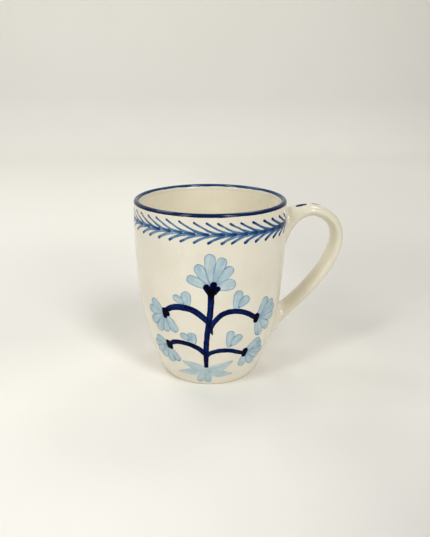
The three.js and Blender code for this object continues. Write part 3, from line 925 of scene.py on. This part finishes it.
FLOWERS = {
    "top": [
        petal([-1.5, 70.8], [-10.2, 74.3], 5.6),
        petal([-0.8, 71], [-5.9, 80.5], 5.8),
        petal([0.4, 72], [-0.2, 86.1], 6.2),
        petal([1.6, 71.5], [6.1, 84.1], 6),
        petal([2.4, 71], [10.1, 79.3], 5.8),
        petal([2.8, 70.6], [10.9, 71.4], 6.6),
    ],
    "upper_left": [
        petal([-29.2, 51.8], [-34.8, 55.9], 6),
        petal([-29, 51], [-37.4, 51.2], 5.8),
        petal([-28.6, 50], [-35.9, 44.5], 5.9),
        petal([-28, 49.5], [-31.3, 41], 6.3),
        petal([-27, 49], [-26.3, 41.8], 5.8),
        petal([-26, 49.5], [-21, 42.7], 5.9),
    ],
    "upper_right": [
        petal([30, 48.6], [34.7, 56.7], 6.2),
        petal([30, 48.3], [40.3, 54.2], 5.8),
        petal([30.2, 48], [42.8, 50.2], 5.6),
        petal([30.2, 47.3], [41.5, 45.4], 6),
        petal([30, 47], [37.6, 39.9], 6.2),
        petal([29.2, 46.6], [30.9, 38], 6.6),
    ],
    "lower_left": [
        petal([-27.2, 29.6], [-32.8, 31.4], 6.2),
        petal([-27.2, 29.2], [-35.2, 27.6], 6),
        petal([-27, 28.5], [-33.2, 23.6], 5.8),
        petal([-26.6, 28], [-29.5, 21], 5.9),
        petal([-25.6, 27.6], [-24, 19.4], 5.9),
        petal([-25, 27.6], [-19.6, 20.6], 4.8),
    ],
    "lower_right": [
        petal([22.6, 26.2], [30.1, 30.5], 6.4),
        petal([22.8, 25.6], [32, 27.6], 5.8),
        petal([23, 25], [33.8, 22.8], 6),
        petal([22.8, 24.6], [30.3, 19.8], 5.8),
        petal([22.4, 24], [26.3, 16.7], 6),
        petal([21.8, 23.6], [19.6, 17.1], 5.7),
    ],
}
BUDS = {
    "upper_left": [petal([-13, 58.6], [-13.4, 64.2], 5.9), petal([-14, 60.2], [-19.3, 62.4], 4.4)],
    "upper_right": [petal([14.8, 56.6], [15.9, 64.7], 5.7), petal([15.4, 58.4], [20.2, 61.2], 5.6)],
    "lower_left": [petal([-10, 34], [-10.4, 38.8], 5.9), petal([-11.4, 37], [-15.4, 38.9], 4.3)],
    "lower_right": [petal([11, 32.6], [11.7, 40.4], 5), petal([12, 33.6], [16.4, 37], 5.7)],
}
GROUND_LEAVES = [
    stroke([[-2.5, 14], [-9, 17], [-15.8, 19.4]], [5.6, 6, 1.5]),
    stroke([[-1.5, 12.6], [-10, 12], [-19, 9.8]], [5.6, 6, 1.3]),
    stroke([[-2.6, 13.5], [-4.5, 9], [-5.8, 5.2]], [5.4, 5.2, 4.6]),
    stroke([[-1.2, 13], [-1.2, 9], [-1, 5]], [4.8, 4.8, 4.4]),
    stroke([[-0.5, 12.4], [6, 11], [12.8, 9.8]], [5.6, 6, 1.4]),
    stroke([[-1, 14.4], [6.5, 16.4], [13.2, 20.4]], [5.6, 6, 1.3]),
]
HANDLE_DABS = {
    "near": stroke([[12.2, -1.6], [14.5, -1], [16.9, -0.5]], [2.4, 3.6, 2.8], 0.8),
    "far": stroke([[22.2, -0.2], [24.4, 0.6], [26.8, 1.2]], [1.6, 2.4, 1.6], 0.3),
}

# The laurel's spine is this far up the wall, with this many leaves on each side of it.
BORDER_HEIGHT = 99.4
LAUREL_LEAVES = 35
LEAF_PITCH = 7
# The tips of the leaves in front, from the handle back round: hand spaced, so never quite even.
UPPER_TIPS = [52, 45, 37.5, 31, 23.5, 16.5, 10.5, 4, -1.8, -8.5, -16.5, -24]
LOWER_TIPS = [52.8, 46, 39.4, 32.7, 25.7, 18.9, 11.6, 6.1, -1, -8.4, -15.7, -22.4, -29.5, -36.5]
# A leaf's length, and the place at the handle that no leaf runs beyond.
LEAF_REACH = 15.5
LAUREL_END = 64.2


def laurel_strokes():
    """Leaves above and below the border's spine, all running into it towards the handle."""
    upper = [[0, 5.8], [3.5, 3.9], [7.5, 1.9], [11.5, 0.5], [LEAF_REACH, 0]]
    lower = [[0, -4.7], [3.3, -2.7], [6.9, -1.2], [10.5, -0.4], [14, 0]]
    marks = []

    def add_leaf(tip, leaf, widths, load):
        squeeze = min(1, (LAUREL_END - tip) / LEAF_REACH)
        spine = []
        for forward, above in leaf:
            u = tip + forward * squeeze
            spine.append([u, BORDER_HEIGHT - 0.9 * math.sin(u / 30) + above])
        # The painter's brush is fuller towards the handle.
        heavy = smoothstep(4, 46, tip)
        wet = 0.82 + 0.75 * heavy + 0.08 * rng.normal()
        widths = [width * (1 + 0.22 * heavy) for width in widths]
        marks.append(stroke(spine, widths, load * wet))

    def tips(front):
        behind = LAUREL_LEAVES - len(front)
        drift = np.arange(1, behind + 1) * LEAF_PITCH + 0.3 * rng.normal(size=behind)
        return front + (front[-1] - drift).tolist()

    for tip in tips(UPPER_TIPS):
        add_leaf(tip, upper, [1.3, 1.15, 1.35, 1.8, 1.6], 1.1)
    for tip in tips(LOWER_TIPS):
        add_leaf(tip, lower, [1.6, 1.5, 1.7, 1.9, 1.6], 0.9)
    return marks


# Each paint: its material and slot, the brush that lays it, and how far it stands out. What is
# laid on later lies over what is there.
LEAF_PAINT = (PALE_LEAF, "pale_leaf_blue", LEAF_BRUSH, 0.016)
PETAL_PAINT = (PETAL, "petal_blue", PETAL_BRUSH, 0.020)
LAUREL_PAINT = (LAUREL, "laurel_blue", LAUREL_BRUSH, 0.020)
BRANCH_PAINT = (NAVY, "navy_underglaze", FULL_BRUSH, 0.026)
HANDLE_DAB_PAINT = (NAVY, "navy_underglaze", FULL_BRUSH, 0.030)
STEM_PAINT = (NAVY, "navy_underglaze", FULL_BRUSH, 0.031)
CALYX_PAINT = (INK, "ink_underglaze", INK_BRUSH, 0.037)


def build_painting():
    """All the brushwork below the rim band, each piece in place of the CAD node named after it."""
    make_film("laurel", "laurel_border", laurel_strokes(), LAUREL_PAINT, step=0.3)
    make_film("ground_leaf_wash", "ground_leaves", GROUND_LEAVES, LEAF_PAINT)
    for where, petals in FLOWERS.items():
        make_film(f"{where}_petals", f"{where}_flower", petals, PETAL_PAINT)
    for where, petals in BUDS.items():
        make_film(f"{where}_bud_wash", f"{where}_bud", petals, PETAL_PAINT)
    for where, marks in BRANCHES.items():
        make_film(f"{where}_stroke", f"{where}_branch", marks, BRANCH_PAINT)
    make_film("stem_stroke", "main_stem", MAIN_STEM, STEM_PAINT)
    for where, marks in CALYXES.items():
        make_film(f"{where}_cup_dabs", f"{where}_calyx", marks, CALYX_PAINT)
    for where, mark in HANDLE_DABS.items():
        make_film(
            f"{where}_handle_dab", f"handle_dab_{where}", [mark], HANDLE_DAB_PAINT,
            sheet=on_strap, step=0.2,
        )


# How far down from the crest the band comes, the mesh that it is made with, and how far its face
# stands out from the clay and its back is sunk into it.
BAND_DROP_OUTSIDE = 1.74
BAND_DROP_INSIDE = 1.35
BAND_SEGMENTS = 480
BAND_ROWS = 40
BAND_LIFT = 0.02
BAND_DEPTH = 0.10


def build_rim_band():
    """The cobalt brushed over the lip on the wheel: thin on the crest, thick at its hems."""
    azimuth = np.linspace(0, 2 * math.pi, BAND_SEGMENTS, endpoint=False)
    # The noise is read along a ring of its plane, so that it closes on itself.
    x, y = 9 * np.cos(azimuth), 9 * np.sin(azimuth)

    def wavy(offset):
        slow = noise(0.5 * x + offset, 0.5 * y + 20)
        return 0.16 * slow + 0.10 * noise(2.2 * x + offset, 2.2 * y + 20)

    outer_drop = BAND_DROP_OUTSIDE + wavy(0)
    inner_drop = BAND_DROP_INSIDE + wavy(13)
    # Below the lip's round the band goes straight down, and the angle counts on below 0.
    start = -(outer_drop - LIP_ROUND) / LIP_ROUND
    stop = math.pi - np.arcsin((LIP_INNER_FALL - inner_drop) / LIP_INNER_FALL)
    angles, laid = [], []
    for part in np.linspace(0, 1, BAND_ROWS):
        angle = start + part * (stop - start)
        hem = LIP_ROUND * np.minimum(angle - start, stop - angle)
        pool = 0.35 * np.exp(-(((hem - 0.3) / 0.25) ** 2))
        mottle = 0.16 * noise(3 * x + 5 * part, 3 * y) + 0.12 * noise(0.8 * x, 0.8 * y + 7 * part)
        # Paler on the crest and on the inside: partly the cobalt thinning there, and partly a
        # painted sheen where the lip catches the light.
        crest = 0.25 * np.exp(-(((angle - 1.5) / 0.4) ** 2))
        thin = -crest - 0.8 * smoothstep(1.5, 2.2, angle)
        fade = smoothstep(-0.05, 0.2, hem)
        angles.append(angle)
        laid.append((1.35 + pool + thin + mottle) * (0.4 + 0.6 * fade))

    def shell(lift):
        rings = []
        for angle in angles:
            radius, height = lip_outline(np.maximum(angle, 0), lift)
            height = height + LIP_ROUND * np.minimum(angle, 0)
            ring = [CUP_X + radius * np.cos(azimuth), radius * np.sin(azimuth), height]
            rings.append(np.stack(ring, 1))
        return rings

    points = np.stack(shell(BAND_LIFT) + shell(-BAND_DEPTH)[::-1])
    faces = grid_faces(len(points), BAND_SEGMENTS, closed_rows=True)
    make_piece(
        "rim_cobalt", points.reshape(-1, 3), faces, [BAND], ["rim_band"],
        {"pigment": np.concatenate(laid + laid[::-1])}, crease=60,
    )


# ---- the set ------------------------------------------------------------------------


def floor_material():
    """Matt pale paper, painted with shade and light round the mug. Places are in metres."""
    nodes = Nodes("pale_sweep")
    grain = nodes.blend(nodes.noise(3.0, detail=2.0), 0.7, nodes.noise(900.0, detail=2.0), 0.3)
    colour = nodes.ramp(grain, [(0.3, (247, 244, 236)), (0.7, (250, 248, 241))])
    place = nodes.add("ShaderNodeSeparateXYZ", {0: nodes.place()})
    across, away, up = (place.outputs[axis] for axis in "XYZ")
    # Painted shade: the paper dimmer where it rises into the wall, and dimmer in front of the mug
    # than behind it.
    wall = nodes.remap(up, 0.0, 0.12, 1.0, 0.87)
    depth = nodes.remap(away, 0.0, 0.3, 0.95, 1.0)
    # Painted shade to the right, deepest beyond the mug.
    right = nodes.product(
        nodes.remap(away, -0.05, 0.1, 0.6, 1.3),
        nodes.remap(away, 0.2, 1.0, 1.0, 0.0),
        nodes.remap(across, 0.0, 0.1, 0.0, 0.16),
    )
    # Painted shade again, deeper towards the near right corner.
    corner = nodes.product(
        nodes.remap(across, -0.035, 0.05, 0.0, 1.0),
        nodes.remap(away, -0.15, -0.07, 0.16, 0.0),
    )
    # On the left, painted light in front of the mug and painted shadow beside it.
    left = nodes.product(
        nodes.remap(across, -0.03, -0.08, 0.0, 1.0),
        nodes.remap(away, -0.04, 0.05, -0.06, 0.07),
        nodes.remap(away, 0.1, 0.35, 1.0, 0.0),
    )
    # All the painted shade and painted light together scale the paper's colour.
    painted_shade_total = nodes.math("ADD", nodes.math("ADD", right, corner), left)
    shade = nodes.product(depth, nodes.math("SUBTRACT", 1.0, painted_shade_total), wall)
    shaded_paper_colour = nodes.add("ShaderNodeVectorMath", {0: colour, "Scale": shade}, operation="SCALE")
    nodes.link(shaded_paper_colour.outputs[0], "Base Color")
    tooth = nodes.noise(1400.0, detail=2.0)
    nodes.link(nodes.bump(tooth, distance=0.00004, strength=0.3), "Normal")
    nodes.shader.inputs["Roughness"].default_value = 0.75
    nodes.shader.inputs["Specular IOR Level"].default_value = 0.2
    return nodes.material


# The sweep, the camera and the lights are in metres and degrees, and the lens in millimetres.
SWEEP_HALF_WIDTH = 2.4
SWEEP_FRONT = -3.2
SWEEP_BACK = 0.95
SWEEP_BEND = 0.35
SWEEP_TOP = 2.4


def build_floor():
    """A sweep of paper: flat under the mug and curving up a long way behind it."""
    side = [(y, 0.0) for y in np.linspace(SWEEP_FRONT, SWEEP_BACK, 30)]
    for angle in np.linspace(0, math.pi / 2, 20)[1:]:
        along, up = SWEEP_BEND * math.sin(angle), SWEEP_BEND * (1 - math.cos(angle))
        side.append((SWEEP_BACK + along, up))
    side.append((SWEEP_BACK + SWEEP_BEND, SWEEP_TOP))
    across = np.linspace(-SWEEP_HALF_WIDTH, SWEEP_HALF_WIDTH, 30)
    points = [(x, y, z) for y, z in side for x in across]
    mesh = bpy.data.meshes.new("sweep")
    mesh.from_pydata(points, [], grid_faces(len(side), len(across), closed_columns=False))
    mesh.materials.append(floor_material())
    mesh.shade_smooth()
    floor = bpy.data.objects.new("sweep", mesh)
    bpy.context.scene.collection.objects.link(floor)


CAMERA_PLACE = Vector((CUP_X * MM - 0.0394, -0.3208, 0.1733))
CAMERA_TURN = -7.524
CAMERA_TILT = 71.2
CAMERA_ROLL = 0.3
CAMERA_LENS = 37.54
PICTURE_SIZE = (430, 537)


def build_camera():
    """The camera in front of the mug and above it, and the size and tone of its picture."""
    camera = bpy.data.cameras.new("camera")
    camera.lens = CAMERA_LENS
    camera.sensor_width = 36
    camera.clip_start = 0.01
    stand = bpy.data.objects.new("camera", camera)
    turn = Matrix.Rotation(math.radians(CAMERA_TURN), 4, "Z")
    tilt = Matrix.Rotation(math.radians(CAMERA_TILT), 4, "X")
    roll = Matrix.Rotation(math.radians(CAMERA_ROLL), 4, "Z")
    stand.matrix_world = Matrix.Translation(CAMERA_PLACE) @ turn @ tilt @ roll
    scene = bpy.context.scene
    scene.collection.objects.link(stand)
    scene.camera = stand
    scene.view_settings.view_transform = "Standard"
    scene.render.resolution_x, scene.render.resolution_y = PICTURE_SIZE


# What the lights face: the middle of the cup.
LIT_PLACE = Vector((CUP_X * MM, 0, 0.06))


def add_light(name, azimuth, elevation, distance, size, power):
    """A soft box facing the mug, its azimuth counted round from where the camera stands."""
    lamp = bpy.data.lights.new(name, "AREA")
    lamp.shape = "RECTANGLE"
    lamp.size, lamp.size_y = size
    lamp.energy = power
    turn, high = math.radians(azimuth + CAMERA_TURN), math.radians(elevation)
    level = math.cos(high)
    away = Vector((math.sin(turn) * level, -math.cos(turn) * level, math.sin(high)))
    stand = bpy.data.objects.new(name, lamp)
    stand.location = LIT_PLACE + distance * away
    stand.rotation_euler = (-away).to_track_quat("-Z", "Y").to_euler()
    bpy.context.scene.collection.objects.link(stand)


def build_lights():
    """Two low windows and two soft boxes in front, one light at the side and two behind."""
    world = bpy.data.worlds.new("studio")
    bpy.context.scene.world = world
    world.use_nodes = True
    background = world.node_tree.nodes["Background"]
    background.inputs["Color"].default_value = (1.0, 0.99, 0.965, 1)
    background.inputs["Strength"].default_value = 0.24
    add_light("window_left", -42, 20, 2.6, (0.8, 0.45), 7)
    add_light("window_right", 33, 20, 2.6, (0.8, 0.6), 12)
    add_light("softbox_left", -43, 48, 2.2, (0.35, 0.8), 9.8)
    add_light("softbox_right", 33, 48, 2.2, (0.4, 0.8), 13.8)
    add_light("side_left", -85, 40, 2.0, (1.0, 0.8), 2.6)
    add_light("back_left", -128, 54, 1.3, (0.42, 0.3), 2.2)
    add_light("back_right", 146, 54, 1.3, (0.38, 0.3), 2.1)


build_cup()
build_handle()
build_slip("upper", reach=2.6)
build_slip("lower", reach=5)
build_rim_band()
build_painting()
build_floor()
build_camera()
build_lights()
